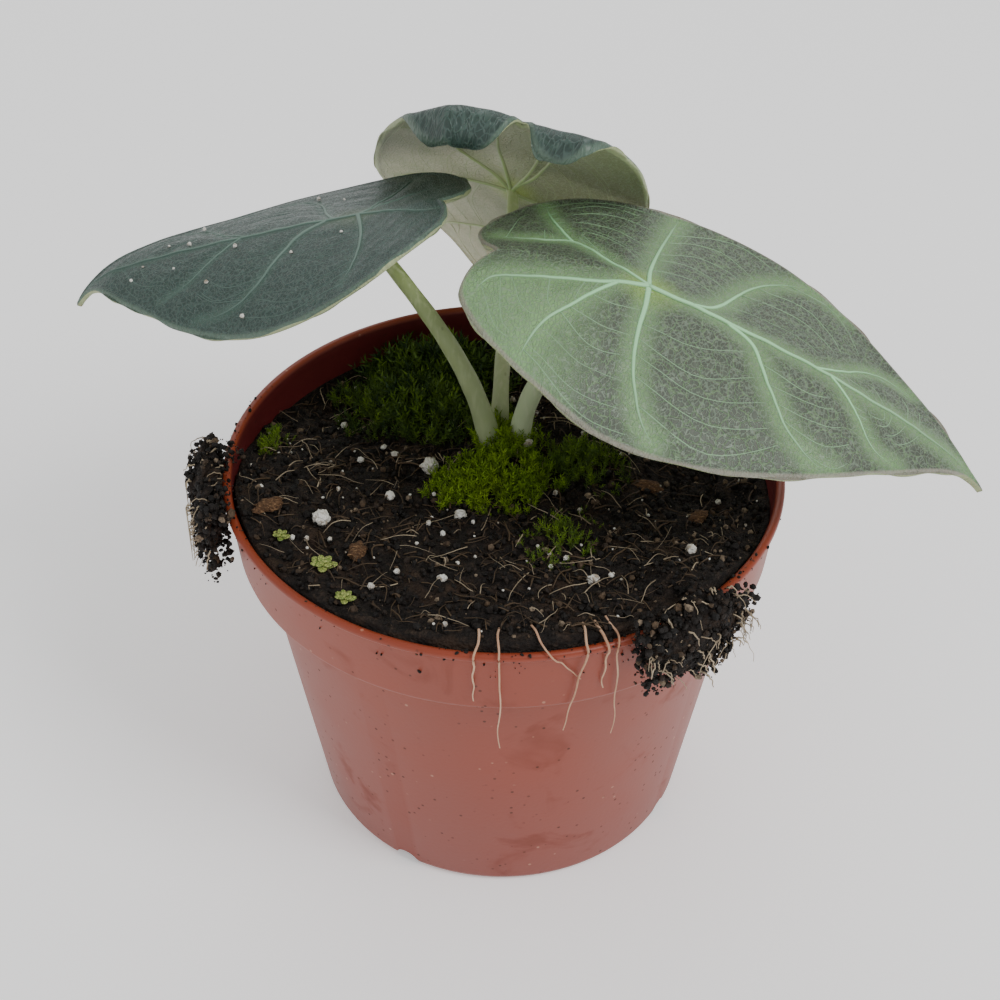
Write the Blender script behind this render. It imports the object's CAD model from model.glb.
"""Looks of a young alocasia in its nursery pot: veined leathery leaves, stalks, moss and loose soil.

Sizes are in millimetres here, as in the part's source, and become metres in the meshes.
"""

import math

import bpy
import numpy as np
from mathutils import Matrix, Vector, noise


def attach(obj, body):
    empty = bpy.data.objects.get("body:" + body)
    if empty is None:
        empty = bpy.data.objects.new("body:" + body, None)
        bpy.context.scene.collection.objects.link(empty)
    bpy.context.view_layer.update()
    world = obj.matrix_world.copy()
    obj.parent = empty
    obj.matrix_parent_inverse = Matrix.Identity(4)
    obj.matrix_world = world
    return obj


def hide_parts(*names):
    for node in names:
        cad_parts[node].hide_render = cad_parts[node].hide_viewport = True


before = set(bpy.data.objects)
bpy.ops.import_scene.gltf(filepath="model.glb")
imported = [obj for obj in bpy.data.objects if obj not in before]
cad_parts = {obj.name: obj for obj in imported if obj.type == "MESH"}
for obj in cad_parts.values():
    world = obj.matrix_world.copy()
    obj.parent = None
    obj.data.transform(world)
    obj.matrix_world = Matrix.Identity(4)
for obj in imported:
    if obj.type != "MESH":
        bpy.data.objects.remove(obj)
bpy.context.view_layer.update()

MM = 0.001
random = np.random.default_rng(7)
UP = np.array((0.0, 0.0, 1.0))

# Pot
RIM_RADIUS = 60.0
POT_HEIGHT = 88.0
BASE_RADIUS = 42.6
POT_STEPS = 144
# (radius, height), up the inside and down the outside
POT_PROFILE = (
    (0, 1), (40.2, 1), (41.2, 1.4), (41.7, 2.2), (52.2, 71.2), (52.7, 72.2), (53.6, 72.6), (56.2, 72.6),
    (56.8, 73.1), (57.9, 85.0), (58.0, 86.9), (58.3, 87.7), (58.8, 88.0), (59.4, 88.0), (59.9, 87.7),
    (60.0, 87.2), (60.0, 86.8), (59.7, 86.4), (59.25, 86.2), (59.1, 85.6), (57.9, 72.6), (57.7, 71.9),
    (57.2, 71.6), (54.0, 71.3), (53.3, 70.8), (53.1, 70.0), (42.7, 1.6), (42.3, 0.6), (41.4, 0), (0, 0),
)

# Soil
SOIL_LEVEL = 83.6
SOIL_TILT = -0.085
SWELLS = (
    (0.0, 9.0, 13.0, 3.2), (46.0, 2.0, 15.0, -7.0), (-36.0, 30.0, 16.0, -4.0),
    (-52.0, -14.0, 10.0, 4.0), (37.0, -40.0, 12.0, 3.5), (4.0, -50.0, 16.0, 1.6),
)
CROWN = (0.0, 9.5, 84.5)

# Leaves
TIP_START = 0.80
HALF_OUTLINE = (
    (1.0, 0.0), (0.965, 0.018), (0.93, 0.05), (0.86, 0.16), (0.72, 0.40), (0.52, 0.70), (0.28, 0.93),
    (0.03, 1.0), (-0.21, 0.90), (-0.39, 0.69), (-0.485, 0.42), (-0.475, 0.18), (-0.42, 0.0),
)
LEAVES = {
    "front": dict(
        joint=(28.1, -2.6, 134.0), yaw=-0.23, pitch=0.32, roll=-0.25, length=80.3, half_width=36.6,
        lobe=0.93, right_scale=1.01, shear=0.0, droop=0.003, lobe_droop=0.012, tip_droop=0.026,
        left_angle=0.03, right_angle=0.25, left_bend=-0.007, right_bend=0.020, twist=-0.15,
        lobe_bend=-0.012, bend_change=-0.006,
    ),
    "left": dict(
        joint=(-30.3, 18.0, 137.1), yaw=3.03, pitch=0.26, roll=0.28, length=68.6, half_width=34.5,
        lobe=0.63, right_scale=1.0, shear=0.0, droop=0.002, lobe_droop=0.001, tip_droop=0.060,
        left_angle=0.13, right_angle=0.05, left_bend=0.009, right_bend=-0.002, twist=0.29,
        lobe_bend=-0.020, bend_change=0.022,
    ),
    "back": dict(
        joint=(1.4, 49.6, 125.3), yaw=1.63, pitch=0.98, roll=0.04, length=85.0, half_width=33.4,
        lobe=1.20, right_scale=0.92, shear=0.27, droop=-0.002, lobe_droop=0.007, tip_droop=0.030,
        left_angle=-0.58, right_angle=0.48, left_bend=0.019, right_bend=-0.010, twist=-0.30,
        lobe_bend=0.015, bend_change=-0.014,
        # where the far edge folds over, as along for each across, then the fold's radius and how much it is drawn out
        rolled=(((-0.7, -0.42, -0.10, 0.10, 0.28, 0.45, 0.76),
                 (-0.42, -0.455, -0.43, -0.425, -0.425, -0.43, -0.345)), 3.4, 2.1),
    ),
}
# Veins as (half width at the start, half width at the end, places on the flat leaf), base lobe first on
# each side. The places are (along the midrib in lengths, to its left in half widths).
VEINS = {
    "front": {
        "left": (
            (0.75, 0.25, ((0, 0), (-0.12, 0.17), (-0.23, 0.31), (-0.33, 0.26), (-0.44, 0.27))),
            (0.5, 0.2, ((-0.23, 0.31), (-0.29, 0.52), (-0.33, 0.71))),
            (0.65, 0.25, ((0, 0), (-0.006, 0.2), (0.0, 0.45), (0.015, 0.74), (0.03, 0.97))),
            (0.65, 0.2, ((0.12, 0), (0.18, 0.14), (0.26, 0.54), (0.36, 0.75), (0.46, 0.76), (0.53, 0.68))),
            (0.45, 0.15, ((0.46, 0), (0.52, 0.10), (0.59, 0.26), (0.66, 0.32), (0.74, 0.31))),
        ),
        "right": (
            (0.8, 0.25, ((0, 0), (-0.08, -0.07), (-0.18, -0.15), (-0.30, -0.21), (-0.40, -0.24),
                         (-0.45, -0.35))),
            (0.6, 0.25, ((-0.08, -0.07), (-0.13, -0.20), (-0.18, -0.35), (-0.24, -0.50), (-0.27, -0.63),
                         (-0.29, -0.76))),
            (0.75, 0.25, ((0, 0), (0.008, -0.16), (0.012, -0.36), (0.03, -0.56), (0.06, -0.70), (0.10, -0.83),
                          (0.16, -0.93))),
            (0.65, 0.2, ((0.21, 0), (0.29, -0.08), (0.36, -0.29), (0.44, -0.48), (0.54, -0.58),
                         (0.60, -0.56))),
            (0.4, 0.15, ((0.50, 0), (0.58, -0.12), (0.66, -0.30), (0.75, -0.32))),
        ),
    },
    "left": {
        "left": (
            (0.5, 0.2, ((0, 0), (-0.16, 0.03), (-0.35, 0.12), (-0.43, 0.14))),
            (0.6, 0.2, ((0, 0), (-0.05, 0.2), (-0.09, 0.44), (-0.09, 0.65), (-0.06, 0.86))),
            (0.6, 0.2, ((0.10, 0), (0.17, 0.16), (0.21, 0.31), (0.24, 0.45), (0.28, 0.58), (0.36, 0.68),
                        (0.49, 0.66))),
            (0.3, 0.1, ((0.38, 0), (0.45, 0.16), (0.52, 0.34), (0.62, 0.44))),
        ),
        "right": (
            (0.5, 0.2, ((0, 0), (-0.08, -0.20), (-0.23, -0.42), (-0.33, -0.52))),
            (0.5, 0.2, ((0, 0), (-0.04, -0.29), (-0.09, -0.59), (-0.12, -0.86))),
            (0.45, 0.15, ((0.08, 0), (0.13, -0.2), (0.18, -0.45), (0.26, -0.66), (0.36, -0.72))),
            (0.3, 0.1, ((0.36, 0), (0.46, -0.14), (0.55, -0.34), (0.64, -0.42))),
        ),
    },
    "back": {
        "left": (
            (0.6, 0.25, ((0, 0), (-0.10, 0.06), (-0.20, 0.12), (-0.32, 0.15), (-0.42, 0.2))),
            (0.7, 0.25, ((0, 0), (-0.05, 0.12), (-0.12, 0.36), (-0.19, 0.49), (-0.24, 0.62), (-0.30, 0.78))),
            (0.6, 0.2, ((0, 0), (0.02, 0.3), (0.05, 0.62), (0.10, 0.90))),
            (0.5, 0.2, ((0.24, 0), (0.34, 0.24), (0.44, 0.50), (0.54, 0.60))),
        ),
        "right": (
            (0.6, 0.25, ((0, 0), (-0.13, -0.12), (-0.26, -0.17), (-0.39, -0.15))),
            (0.6, 0.25, ((-0.04, -0.04), (-0.11, -0.16), (-0.22, -0.25), (-0.38, -0.35))),
            (0.6, 0.2, ((0, 0), (0.02, -0.3), (0.05, -0.62), (0.10, -0.88))),
            (0.5, 0.2, ((0.24, 0), (0.34, -0.24), (0.44, -0.50), (0.54, -0.60))),
        ),
    },
}
MIDRIB = ((0, 0), (0.15, 0.0), (0.4, 0.0), (0.6, 0.0), (0.8, 0.0), (0.95, 0.0))
MIDRIB_WIDTH = {"front": 0.95, "left": 0.65, "back": 0.9}

# Where each stalk starts from the crown, its radii, and the ways it sets off and arrives in stalk lengths
STALKS = {
    "front": dict(foot=(3.2, -0.6, 0.0), radii=(2.35, 1.6),
                  rise=(0.03, 0.0, 0.40), arrive=(0.24, -0.02, 0.20)),
    "left": dict(foot=(-3.0, -1.2, 0.0), radii=(2.55, 1.3),
                 rise=(-0.06, 0.0, 0.38), arrive=(-0.22, 0.11, 0.26)),
    "back": dict(foot=(-1.0, 4.0, 0.0), radii=(2.0, 1.2),
                 rise=(0.0, 0.05, 0.35), arrive=(0.0, 0.20, 0.15)),
}

MOSSES = {
    "moss_crown": (-2.0, -4.5, 12.0, 8.0, 15.0, 3.2),
    "moss_back": (-19.0, 26.0, 15.0, 10.0, -30.0, 4.0),
    "moss_right": (16.5, 2.5, 8.5, 7.0, 40.0, 3.0),
    "moss_front": (12.0, -24.0, 6.0, 9.0, -20.0, 2.2),
    "moss_left_rim": (-51.0, 12.0, 3.6, 5.6, -8.0, 2.4),
    "moss_wall": (-15.0, 40.0, 15.0, 9.0, -14.0, 1.0),
    "moss_stalks": (0.5, 8.5, 7.5, 6.5, 0.0, 1.6),
}
ROSETTES = ((-45.4, -24.8, 1.9), (-36.0, -34.4, 2.8), (-31.0, -43.5, 2.2))
PERLITE = ((-15.9, 0.8, 2.0), (-37.7, -18.9, 1.9), (-8.9, -15.5, 1.3), (38.0, -28.5, 1.2), (-24.0, -9.0, 1.1),
           (18.0, -38.0, 1.2), (-12.0, -38.0, 1.0))
CHIPS = ((-48.5, -17.5, 6.0, 3.6, 1.6, 30.0), (-29.5, -29.0, 4.6, 3.4, 1.8, 75.0),
         (30.5, -2.0, 6.5, 3.4, 1.5, -15.0), (41.0, -13.0, 5.0, 3.0, 1.6, 50.0))
CLUMPS = {"soil_clump_left": (188.0, 16.0, 24.0), "soil_clump_right": (-53.5, 13.0, 20.0)}
CLUMP_BEND = 4.2
CLUMP_THICKNESS = 3.2
CLUMP_START = 115.0
# Roots over the rim: turn in degrees, length below the rim, drift in degrees, radius
ROOTS = ((-94.8, 14.0, -0.5, 0.30), (-84.0, 9.0, 9.0, 0.25), (-70.6, 13.0, 0.3, 0.35),
         (-73.2, 24.0, -4.5, 0.30), (-68.2, 28.0, 0.6, 0.25), (-90.6, 28.0, 0.4, 0.25))


# Shader maths


class Value:
    """A number or colour that varies over a surface. Arithmetic on it adds Math nodes."""

    def __init__(self, finish, socket):
        self.finish = finish
        self.socket = socket

    def maths(self, operation, *terms, clamp=False):
        sockets = dict(enumerate(terms))
        settings = {"operation": operation, "use_clamp": clamp}
        return self.finish.node("ShaderNodeMath", settings, sockets)

    def __add__(self, other):
        return self.maths("ADD", self, other)

    __radd__ = __add__

    def __mul__(self, other):
        return self.maths("MULTIPLY", self, other)

    __rmul__ = __mul__

    def __sub__(self, other):
        return self.maths("SUBTRACT", self, other)

    def __rsub__(self, other):
        return self.maths("SUBTRACT", other, self)

    def clamp(self):
        return self.maths("ADD", self, 0.0, clamp=True)

    def step(self, low, high):
        """0 below low and 1 above high, smoothly. A high below low turns it round."""
        settings = {"interpolation_type": "SMOOTHSTEP"}
        turned = high < low
        sockets = {"Value": self, "From Min": min(low, high), "From Max": max(low, high)}
        made = self.finish.node("ShaderNodeMapRange", settings, sockets)
        return 1 - made if turned else made


class Finish:
    """A material on the Principled shader. Constants are set on the shader, and varying values are joined."""

    def __init__(self, name, **constants):
        self.material = bpy.data.materials.new(name)
        self.material.use_nodes = True
        self.tree = self.material.node_tree
        self.shader = self.tree.nodes["Principled BSDF"]
        for key, value in constants.items():
            self.shader.inputs[key.replace("_", " ")].default_value = value

    def node(self, kind, settings=None, sockets=None, output=None):
        made = self.tree.nodes.new(kind)
        for key, value in (settings or {}).items():
            if key == "stops":
                ramp = made.color_ramp
                while len(ramp.elements) < len(value):
                    ramp.elements.new(0.5)
                for stop, (place, colour) in zip(ramp.elements, value):
                    stop.position = place
                    stop.color = (*colour, 1)
            else:
                setattr(made, key, value)
        for key, value in (sockets or {}).items():
            self.join(made.inputs[key], value)
        return Value(self, made.outputs[output or 0])

    def join(self, target, value):
        if isinstance(value, Value):
            self.tree.links.new(value.socket, target)
        elif target.type == "RGBA" and len(value) == 3:
            target.default_value = (*value, 1)
        else:
            target.default_value = value

    def attribute(self, name, output="Fac"):
        return self.node("ShaderNodeAttribute", {"attribute_name": name}, output=output)

    def place(self, attribute=None, stretch=(1, 1, 1)):
        """Millimetres along the object, or along a piece's own surface."""
        if attribute:
            where = self.attribute(attribute, "Vector")
            scale = stretch
        else:
            where = self.node("ShaderNodeTexCoord", output="Object")
            scale = tuple(1000 * part for part in stretch)
        settings = {"operation": "MULTIPLY"}
        return self.node("ShaderNodeVectorMath", settings, {0: where, 1: scale})

    def noise(self, where, size, detail=3.0, rough=0.5, distort=0.0):
        sockets = {"Vector": where, "Scale": 1 / size, "Detail": detail, "Roughness": rough,
                   "Distortion": distort}
        return self.node("ShaderNodeTexNoise", None, sockets)

    def cells(self, where, size, feature="DISTANCE_TO_EDGE", randomness=1.0):
        sockets = {"Vector": where, "Scale": 1 / size, "Randomness": randomness}
        return self.node("ShaderNodeTexVoronoi", {"feature": feature}, sockets)

    def mix(self, share, first, second, blend="MIX"):
        made = self.tree.nodes.new("ShaderNodeMix")
        made.data_type = "RGBA"
        made.blend_type = blend
        for index, value in ((0, share), (6, first), (7, second)):
            self.join(made.inputs[index], value)
        return Value(self, made.outputs[2])

    def ramp(self, value, *stops):
        return self.node("ShaderNodeValToRGB", {"stops": stops}, {"Fac": value})

    def set(self, colour=None, rough=None, height=None, depth=0.1, strength=1.0, coat=None):
        """Joins what varies. The height is in the bump's depth, in millimetres."""
        for key, value in (("Base Color", colour), ("Roughness", rough), ("Coat Weight", coat)):
            if value is not None:
                self.join(self.shader.inputs[key], value)
        if height is not None:
            sockets = {"Height": height, "Distance": depth * MM, "Strength": strength}
            bump = self.node("ShaderNodeBump", None, sockets)
            self.join(self.shader.inputs["Normal"], bump)
        return self.material


# Finishes


def pot_plastic():
    finish = Finish("terracotta plastic", Specular_IOR_Level=0.5, Coat_Roughness=0.3)
    where = finish.place()
    clouds = finish.noise(where, 28, 3)
    grain = finish.noise(where, 0.9, 2)
    dirt = finish.noise(where, 2.6, 4, 0.65).step(0.62, 0.72)
    smudge = finish.noise(where, 17, 4, 0.6, 0.6).step(0.56, 0.72)
    specks = finish.cells(where, 2.4, "F1").step(0.17, 0.10) * finish.noise(where, 9, 2).step(0.42, 0.60)
    pale = finish.cells(where, 3.4, "F1").step(0.13, 0.07) * finish.noise(where, 12, 2).step(0.5, 0.6)
    inside = finish.attribute("inside")
    low = finish.attribute("low")
    body = finish.mix(clouds, (0.215, 0.032, 0.0105), (0.30, 0.044, 0.014))
    body = finish.mix(low * 0.55, body, (0.20, 0.024, 0.012))
    body = finish.mix(smudge * 0.35, body, (0.14, 0.035, 0.020))
    body = finish.mix(specks * 0.75, body, (0.05, 0.020, 0.012))
    body = finish.mix(pale * 0.5, body, (0.55, 0.28, 0.18))
    body = finish.mix(inside, body, finish.mix(clouds, (0.085, 0.010, 0.012), (0.14, 0.016, 0.016)))
    body = finish.mix(dirt * inside * 0.6, body, (0.02, 0.010, 0.007))
    rough = 0.36 + 0.16 * clouds + 0.3 * specks + 0.2 * smudge
    return finish.set(body, rough, grain, 0.02)


def soil_earth():
    finish = Finish("dark potting soil", Specular_IOR_Level=0.3)
    where = finish.place()
    lumps = finish.noise(where, 2.2, 5, 0.65)
    fine = finish.cells(where, 0.7, "F1")
    warm = finish.noise(where, 7, 3)
    colour = finish.ramp(
        lumps, (0.30, (0.0035, 0.0025, 0.0022)), (0.52, (0.012, 0.008, 0.006)), (0.68, (0.040, 0.025, 0.016)),
        (0.80, (0.085, 0.058, 0.038)))
    colour = finish.mix(warm.step(0.5, 0.7) * 0.5, colour, (0.045, 0.024, 0.012))
    return finish.set(colour, 0.92 - 0.25 * lumps, lumps + 0.5 * fine, 0.9)


def crumb_earth():
    finish = Finish("soil crumbs", Specular_IOR_Level=0.35)
    where = finish.place()
    shade = finish.attribute("shade")
    lumps = finish.noise(where, 0.5, 3)
    colour = finish.ramp(
        shade, (0.0, (0.004, 0.003, 0.0027)), (0.60, (0.012, 0.008, 0.006)), (0.84, (0.036, 0.022, 0.014)),
        (0.93, (0.11, 0.070, 0.040)), (1.0, (0.34, 0.26, 0.18)))
    colour = finish.mix(lumps.step(0.3, 0.75) * 0.7, colour, (0.004, 0.003, 0.002))
    return finish.set(colour, 0.9 - 0.3 * lumps, lumps, 0.2)


def fibre_finish(name, dark, pale):
    """Straw, roots and hairs. Each one has its own shade, and its own stains along it."""
    finish = Finish(name, Specular_IOR_Level=0.4)
    where = finish.place()
    stain = finish.noise(where, 1.4, 3)
    shade = finish.noise(where, 9, 1)
    colour = finish.mix((shade * 0.9 + stain * 0.5 - 0.25).clamp(), dark, pale)
    return finish.set(colour, 0.45 + 0.3 * stain, stain, 0.05)


def perlite_white():
    finish = Finish("perlite", Specular_IOR_Level=0.3)
    where = finish.place()
    pits = finish.cells(where, 0.5, "F1")
    stain = finish.noise(where, 1.3, 3).step(0.45, 0.7)
    colour = finish.mix(stain, (0.78, 0.76, 0.70), (0.36, 0.29, 0.21))
    return finish.set(colour, 0.85 - 0.1 * pits, pits, 0.3)


def bark_brown():
    finish = Finish("bark", Specular_IOR_Level=0.3)
    where = finish.place(stretch=(1, 2.4, 1))
    grain = finish.noise(where, 0.7, 4, 0.6, 0.5)
    colour = finish.ramp(
        grain, (0.3, (0.02, 0.010, 0.006)), (0.55, (0.13, 0.065, 0.030)), (0.75, (0.42, 0.26, 0.13)))
    return finish.set(colour, 0.85 - 0.1 * grain, grain, 0.4)


def moss_green():
    finish = Finish("moss", Specular_IOR_Level=0.35)
    where = finish.place()
    shade = finish.attribute("shade")
    height = finish.attribute("height")
    patch = finish.noise(where, 5, 3)
    young = finish.mix(patch, (0.13, 0.30, 0.010), (0.36, 0.50, 0.025))
    old = finish.mix(patch, (0.008, 0.030, 0.006), (0.030, 0.075, 0.014))
    colour = finish.mix(shade, old, young)
    colour = finish.mix((1 - height) * 0.75, colour, (0.030, 0.030, 0.008))
    return finish.set(colour, 0.55 + 0.2 * patch)


def liverwort_green():
    finish = Finish("liverwort", Specular_IOR_Level=0.5)
    where = finish.place()
    cells = finish.cells(where, 0.6)
    colour = finish.mix(cells.step(0.0, 0.2), (0.10, 0.17, 0.02), (0.38, 0.42, 0.12))
    return finish.set(colour, 0.45 + 0.2 * cells, cells, 0.2)


def corm_skin():
    finish = Finish("corm skin", Specular_IOR_Level=0.3)
    where = finish.place(stretch=(1, 1, 3))
    rings = finish.noise(where, 2, 4)
    colour = finish.mix(rings, (0.07, 0.045, 0.02), (0.30, 0.24, 0.14))
    return finish.set(colour, 0.7 + 0.2 * rings, rings, 0.3)


def stalk_green(name, low, high, side, blemish):
    """A stalk that is paler at the foot and on one side, with long streaks and small brown blemishes."""
    finish = Finish(name, Specular_IOR_Level=0.45, Subsurface_Weight=0.12, Subsurface_Scale=0.0015,
                    Subsurface_Radius=(0.6, 0.8, 0.25))
    along = finish.attribute("along")
    where = finish.place()
    long = finish.place(stretch=(1, 1, 0.12))
    streak = finish.noise(long, 0.8, 3)
    cloud = finish.noise(where, 6, 3)
    colour = finish.mix((along * 1.2 + cloud * 0.5 - 0.25).clamp(), low, high)
    colour = finish.mix(streak.step(0.45, 0.75) * 0.45, colour, side)
    spots = finish.cells(finish.place(stretch=(1, 1, 0.55)), 1.7, "F1").step(0.24, 0.14)
    spots = spots * finish.noise(where, 5, 2).step(0.50, 0.60) * blemish
    colour = finish.mix(spots, colour, (0.035, 0.018, 0.008))
    foot = along.step(0.09, 0.0) * cloud.step(0.35, 0.6)
    colour = finish.mix(foot * 0.6, colour, (0.20, 0.12, 0.035))
    return finish.set(colour, 0.40 + 0.2 * streak, streak, 0.12)


def leaf_skin(name, base, deep, halo, joint_tint, margin, net, sheen_tone, rough, halo_width=4.0,
              lobe_light=0.0, halves=None):
    """Leathery leaf face: a deep ground, a pale halo along the veins and a fine net of wrinkles."""
    finish = Finish(name, Specular_IOR_Level=0.5, Subsurface_Weight=0.05, Subsurface_Scale=0.001,
                    Sheen_Roughness=0.5)
    flat = finish.place("flat")
    sway = finish.node("ShaderNodeTexNoise", None, {"Vector": flat, "Scale": 0.5, "Detail": 2.0}, "Color")
    sway = finish.node("ShaderNodeVectorMath", {"operation": "SCALE"}, {0: sway, "Scale": 1.5})
    bent_flat = finish.node("ShaderNodeVectorMath", {"operation": "ADD"}, {0: flat, 1: sway})
    squeezed = finish.node("ShaderNodeVectorMath", {"operation": "MULTIPLY"}, {0: bent_flat, 1: (1.0, 0.62, 1.0)})
    wrinkle = finish.cells(squeezed, 0.75)
    creases = wrinkle.step(0.16, 0.02)
    mesh_cells = finish.cells(bent_flat, 2.6).step(0.07, 0.0)
    vein = finish.attribute("vein")
    edge = finish.attribute("margin")
    centre = finish.attribute("centre")
    cloud = finish.noise(flat, 9, 3)
    mottle = finish.noise(flat, 1.6, 3, 0.6)
    ground = finish.mix(cloud, base, deep)
    glow = vein.step(halo_width, 0.0) * (0.70 + 0.5 * mottle)
    colour = finish.mix((glow * 0.85).clamp(), ground, halo)
    colour = finish.mix(mottle.step(0.45, 0.75) * 0.35, colour, sheen_tone)
    if halves:
        cream, olive = halves
        band = finish.node("ShaderNodeTexWave", {"bands_direction": "DIAGONAL"},
                           {"Vector": bent_flat, "Scale": 0.045, "Distortion": 2.0, "Detail": 1.0})
        right = finish.attribute("right")
        colour = finish.mix((0.75 - right).clamp() * 0.55 * (0.6 + 0.8 * band), colour, cream)
        colour = finish.mix(right * 0.55, colour, olive)
    if lobe_light:
        lobe = finish.attribute("lobe")
        colour = finish.mix(lobe * lobe_light, colour, halo)
    colour = finish.mix(creases * 0.55, colour, net)
    colour = finish.mix(mesh_cells * 0.35, colour, halo)
    colour = finish.mix(centre.step(9.0, 0.5) * 0.6, colour, joint_tint)
    colour = finish.mix(edge.step(1.3, 0.5) * 0.8, colour, margin)
    height = creases * 0.6 + mesh_cells * 0.5 + 0.35 * mottle
    return finish.set(colour, rough + 0.12 * mottle - 0.08 * creases, height, 0.16)


def vein_skin(name, core, side, tip):
    finish = Finish(name, Specular_IOR_Level=0.5)
    across = finish.attribute("across")
    along = finish.attribute("along")
    speckle = finish.noise(finish.place("flat"), 0.5, 2)
    main = finish.attribute("main")
    colour = finish.mix((across + 0.25 * speckle).step(0.55, 1.0), core, side)
    colour = finish.mix((1 - main) * 0.72 + along * along * main * 0.8, colour, tip)
    return finish.set(colour, 0.42 + 0.15 * speckle, speckle, 0.06)


def floor_white():
    finish = Finish("pale floor", Specular_IOR_Level=0.1, Emission_Color=(1, 1, 1, 1), Emission_Strength=0.33)
    clouds = finish.noise(finish.place(), 300, 2)
    return finish.set(finish.mix(clouds, (0.93, 0.93, 0.93), (0.95, 0.95, 0.95)), 0.9 - 0.02 * clouds)


# Meshes


def mesh_object(name, points, groups, finishes, attributes=None, finish_index=None, smooth=True):
    """An object from points in mm and groups of faces that have the same number of corners."""
    mesh = bpy.data.meshes.new(name)
    mesh.vertices.add(len(points))
    mesh.vertices.foreach_set("co", (np.asarray(points) * MM).astype(np.float32).ravel())
    groups = [np.asarray(group, np.int32) for group in groups if len(group)]
    corners = np.concatenate([group.ravel() for group in groups])
    sizes = np.concatenate([np.full(len(group), group.shape[1]) for group in groups])
    mesh.loops.add(len(corners))
    mesh.loops.foreach_set("vertex_index", corners)
    mesh.polygons.add(len(sizes))
    mesh.polygons.foreach_set("loop_start", np.concatenate([[0], np.cumsum(sizes)[:-1]]).astype(np.int32))
    if finish_index is not None:
        mesh.polygons.foreach_set("material_index", np.asarray(finish_index, np.int32))
    mesh.update(calc_edges=True)
    for finish in finishes:
        mesh.materials.append(finish)
    for key, values in (attributes or {}).items():
        set_attribute(mesh, key, values)
    mesh.polygons.foreach_set("use_smooth", np.full(len(sizes), smooth))
    made = bpy.data.objects.new(name, mesh)
    bpy.context.scene.collection.objects.link(made)
    return made


def set_attribute(mesh, key, values):
    values = np.asarray(values, np.float32)
    kind = "FLOAT" if values.ndim == 1 else "FLOAT_VECTOR"
    layer = mesh.attributes.new(key, kind, "POINT")
    layer.data.foreach_set("value" if values.ndim == 1 else "vector", values.ravel())


def get_points(mesh):
    points = np.empty(len(mesh.vertices) * 3, np.float32)
    mesh.vertices.foreach_get("co", points)
    return points.reshape(-1, 3).astype(float)


def set_points(mesh, points):
    mesh.vertices.foreach_set("co", np.asarray(points, np.float32).ravel())
    mesh.update()


def as_array(matrix):
    return np.array([row[:] for row in matrix])


def sphere(name, segments, rings):
    """A unit sphere of rings and segments, to be drawn into a closed shell."""
    bpy.ops.object.select_all(action="DESELECT")
    bpy.ops.mesh.primitive_uv_sphere_add(segments=segments, ring_count=rings, radius=1)
    made = bpy.context.object
    made.name = made.data.name = name
    return made


def template(kind, **settings):
    """(points, triangles) of a small primitive, which is then removed."""
    bpy.ops.object.select_all(action="DESELECT")
    getattr(bpy.ops.mesh, kind)(**settings)
    made = bpy.context.object
    points = get_points(made.data)
    made.data.calc_loop_triangles()
    faces = np.array([tuple(face.vertices) for face in made.data.loop_triangles])
    bpy.data.objects.remove(made, do_unlink=True)
    return points, faces


def turns(count, tilt=math.pi):
    """Random turns as matrices: any turn about Z after a lean of up to tilt."""
    spin = random.uniform(0, math.tau, count)
    lean = random.uniform(0, 1, count) ** 0.7 * tilt
    about = random.uniform(0, math.tau, count)
    made = []
    for lean_by, way, angle in zip(lean, about, spin):
        axis = Vector((math.cos(way), math.sin(way), 0))
        made.append(Matrix.Rotation(lean_by, 3, axis) @ Matrix.Rotation(angle, 3, "Z"))
    return np.array([as_array(matrix) for matrix in made]).reshape(count, 3, 3)


def scatter(shape, places, sizes, matrices):
    """Copies of a template: points and faces of all of them, and which copy each point is of."""
    points, faces = shape
    sizes = np.asarray(sizes, float)
    if sizes.ndim == 1:
        sizes = sizes[:, None] * np.ones(3)
    moved = np.einsum("nij,nkj->nki", matrices, points[None] * sizes[:, None, :])
    moved = moved + np.asarray(places)[:, None]
    copies = np.arange(len(places))
    faces = faces[None] + copies[:, None, None] * len(points)
    return moved.reshape(-1, 3), faces.reshape(-1, 3), np.repeat(copies, len(points))


def tube(path, across, above, widths, heights, sides):
    """A closed tube: rings of an ellipse along a path.

    Returns its points, its faces, its caps, and how far along and across each point is.
    """
    path = np.asarray(path, float)
    count = len(path)
    angle = np.arange(sides) / sides * math.tau
    rings = (path[:, None]
             + across[:, None] * (np.cos(angle)[None, :, None] * widths[:, None, None])
             + above[:, None] * (np.sin(angle)[None, :, None] * heights[:, None, None]))
    points = np.concatenate([rings.reshape(-1, 3), path[:1], path[-1:]])
    ring = np.arange(count - 1)[:, None] * sides
    spoke = np.arange(sides)[None]
    after = (spoke + 1) % sides
    corners = [ring + spoke, ring + after, ring + sides + after, ring + sides + spoke]
    quads = np.stack(corners, -1).reshape(-1, 4)
    first, last = count * sides, count * sides + 1
    start = np.stack([np.full(sides, first), after[0], spoke[0]], -1)
    end = np.stack([np.full(sides, last), (count - 1) * sides + spoke[0], (count - 1) * sides + after[0]], -1)
    tangent = path[1] - path[0]
    if np.dot(np.cross(across[0], above[0]), tangent) < 0:
        quads, start, end = quads[:, ::-1], start[:, ::-1], end[:, ::-1]
    share = np.concatenate([np.repeat(np.linspace(0, 1, count), sides), [0, 1]])
    side = np.concatenate([np.tile(np.abs(np.cos(angle)), count), [0, 0]])
    return points, quads, np.concatenate([start, end]), share, side


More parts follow.
